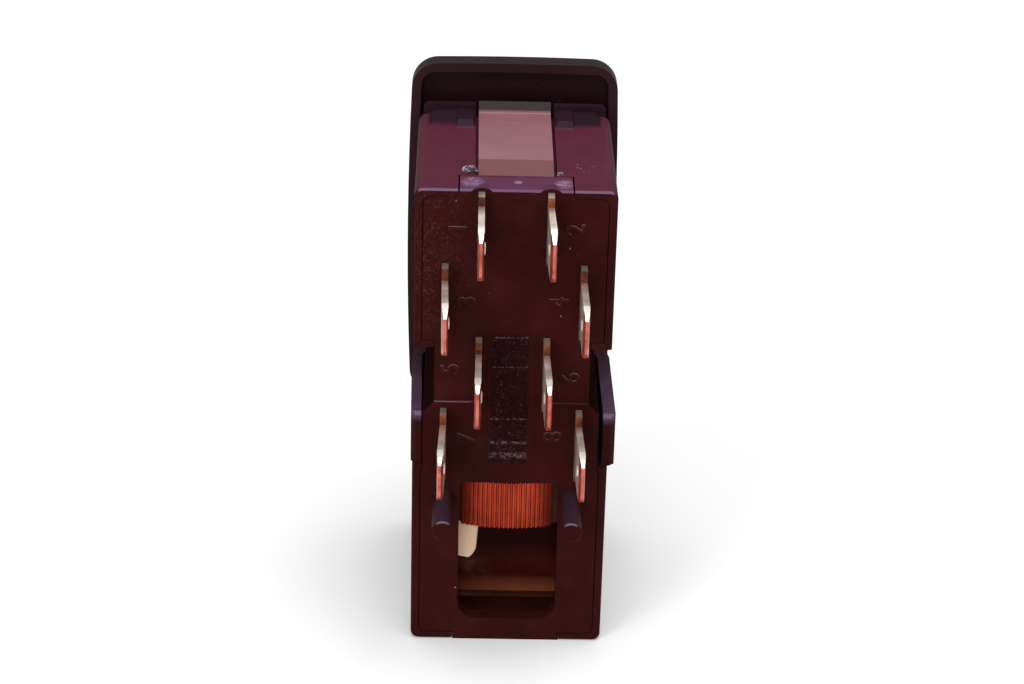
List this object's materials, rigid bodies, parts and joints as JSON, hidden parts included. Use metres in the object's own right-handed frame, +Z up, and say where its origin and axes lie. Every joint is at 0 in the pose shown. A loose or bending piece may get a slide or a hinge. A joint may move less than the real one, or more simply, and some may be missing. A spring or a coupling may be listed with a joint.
{
  "type": "car light switch",
  "caption": "Car headlight rocker switch with a dimmer thumbwheel, spring side arms and upright push-on terminal blades at the rear.",
  "frame": {"origin": "centre of the bounding box's base, on the lower end face that the switch stands on", "axes": "+Z up towards the flanged top end, -Y towards the driver (rocker side), +Y towards the terminals, +X on the left as seen from behind"},
  "size_m": [0.0278, 0.0436, 0.07],
  "materials": {
    "black_plastic": "moulded black nylon, semi-gloss, faintly maroon",
    "satin_black_plastic": "fine-grained satin black",
    "natural_plastic": "natural acetal, satin",
    "steel": "drawn steel",
    "spring_steel": "rolled spring strip, satin",
    "silvered_copper": "silver-plated copper leaf",
    "brown_laminate": "brown paper laminate",
    "resistance_wire": "oxidised copper-nickel wire",
    "bronze": "dull phosphor bronze sheet",
    "copper": "copper strip",
    "tinned_brass": "tinned brass, stamped, slightly tarnished"
  },
  "bodies": {
    "body": {"housing": "black_plastic", "rear_cover": "black_plastic", "front_bezel": "black_plastic", "wheel_axle": "steel", "resistor_former": "brown_laminate", "resistance_winding": "resistance_wire", "dimmer_link": "bronze", "collector_plate": "bronze", "top_spring": "spring_steel", "terminal_1": "tinned_brass", "terminal_2": "tinned_brass", "terminal_3": "tinned_brass", "terminal_4": "tinned_brass", "terminal_5": "tinned_brass", "terminal_6": "tinned_brass", "terminal_7": "tinned_brass", "terminal_8": "tinned_brass"},
    "rocker": {"rocker_cap": "satin_black_plastic", "rocker_frame": "natural_plastic", "plunger_spring_left": "steel", "plunger_spring_right": "steel"},
    "left_plunger": {"plunger_left": "natural_plastic"},
    "right_plunger": {"plunger_right": "natural_plastic"},
    "left_contact": {"contact_rocker_left": "copper"},
    "right_contact": {"contact_rocker_right": "copper"},
    "dimmer_wheel": {"thumbwheel": "satin_black_plastic", "wiper": "silvered_copper"}
  },
  "joints": [
    {"name": "rocker_tilt", "type": "hinge", "parent": "body", "child": "rocker", "pos_m": [0, -0.0114, 0.0494], "axis": [1, 0, 0], "range_deg": [-5, 5]},
    {"name": "left_plunger_slide", "type": "slide", "parent": "rocker", "child": "left_plunger", "axis": [0, 1, 0], "range_m": [-0.0012, 0.0001], "stiffness_N_per_m": 400, "springref_m": 0.0001, "deforming": ["plunger_spring_left"]},
    {"name": "right_plunger_slide", "type": "slide", "parent": "rocker", "child": "right_plunger", "axis": [0, 1, 0], "range_m": [-0.0012, 0.0001], "stiffness_N_per_m": 400, "springref_m": 0.0001, "deforming": ["plunger_spring_right"]},
    {"name": "left_contact_tilt", "type": "hinge", "parent": "body", "child": "left_contact", "pos_m": [0.0053, 0.0056, 0.0494], "axis": [1, 0, 0], "range_deg": [-3, 3]},
    {"name": "right_contact_tilt", "type": "hinge", "parent": "body", "child": "right_contact", "pos_m": [-0.0053, 0.0056, 0.0494], "axis": [1, 0, 0], "range_deg": [-3, 3]},
    {"name": "dimmer_turn", "type": "hinge", "parent": "body", "child": "dimmer_wheel", "pos_m": [0, -0.0097, 0.00975], "axis": [0, 0, 1], "range_deg": [0, 38.6]}
  ],
  "couplings": [
    {"joint": "left_contact_tilt", "follows": "rocker_tilt", "ratio": -0.6},
    {"joint": "right_contact_tilt", "follows": "rocker_tilt", "ratio": -0.6}
  ]
}
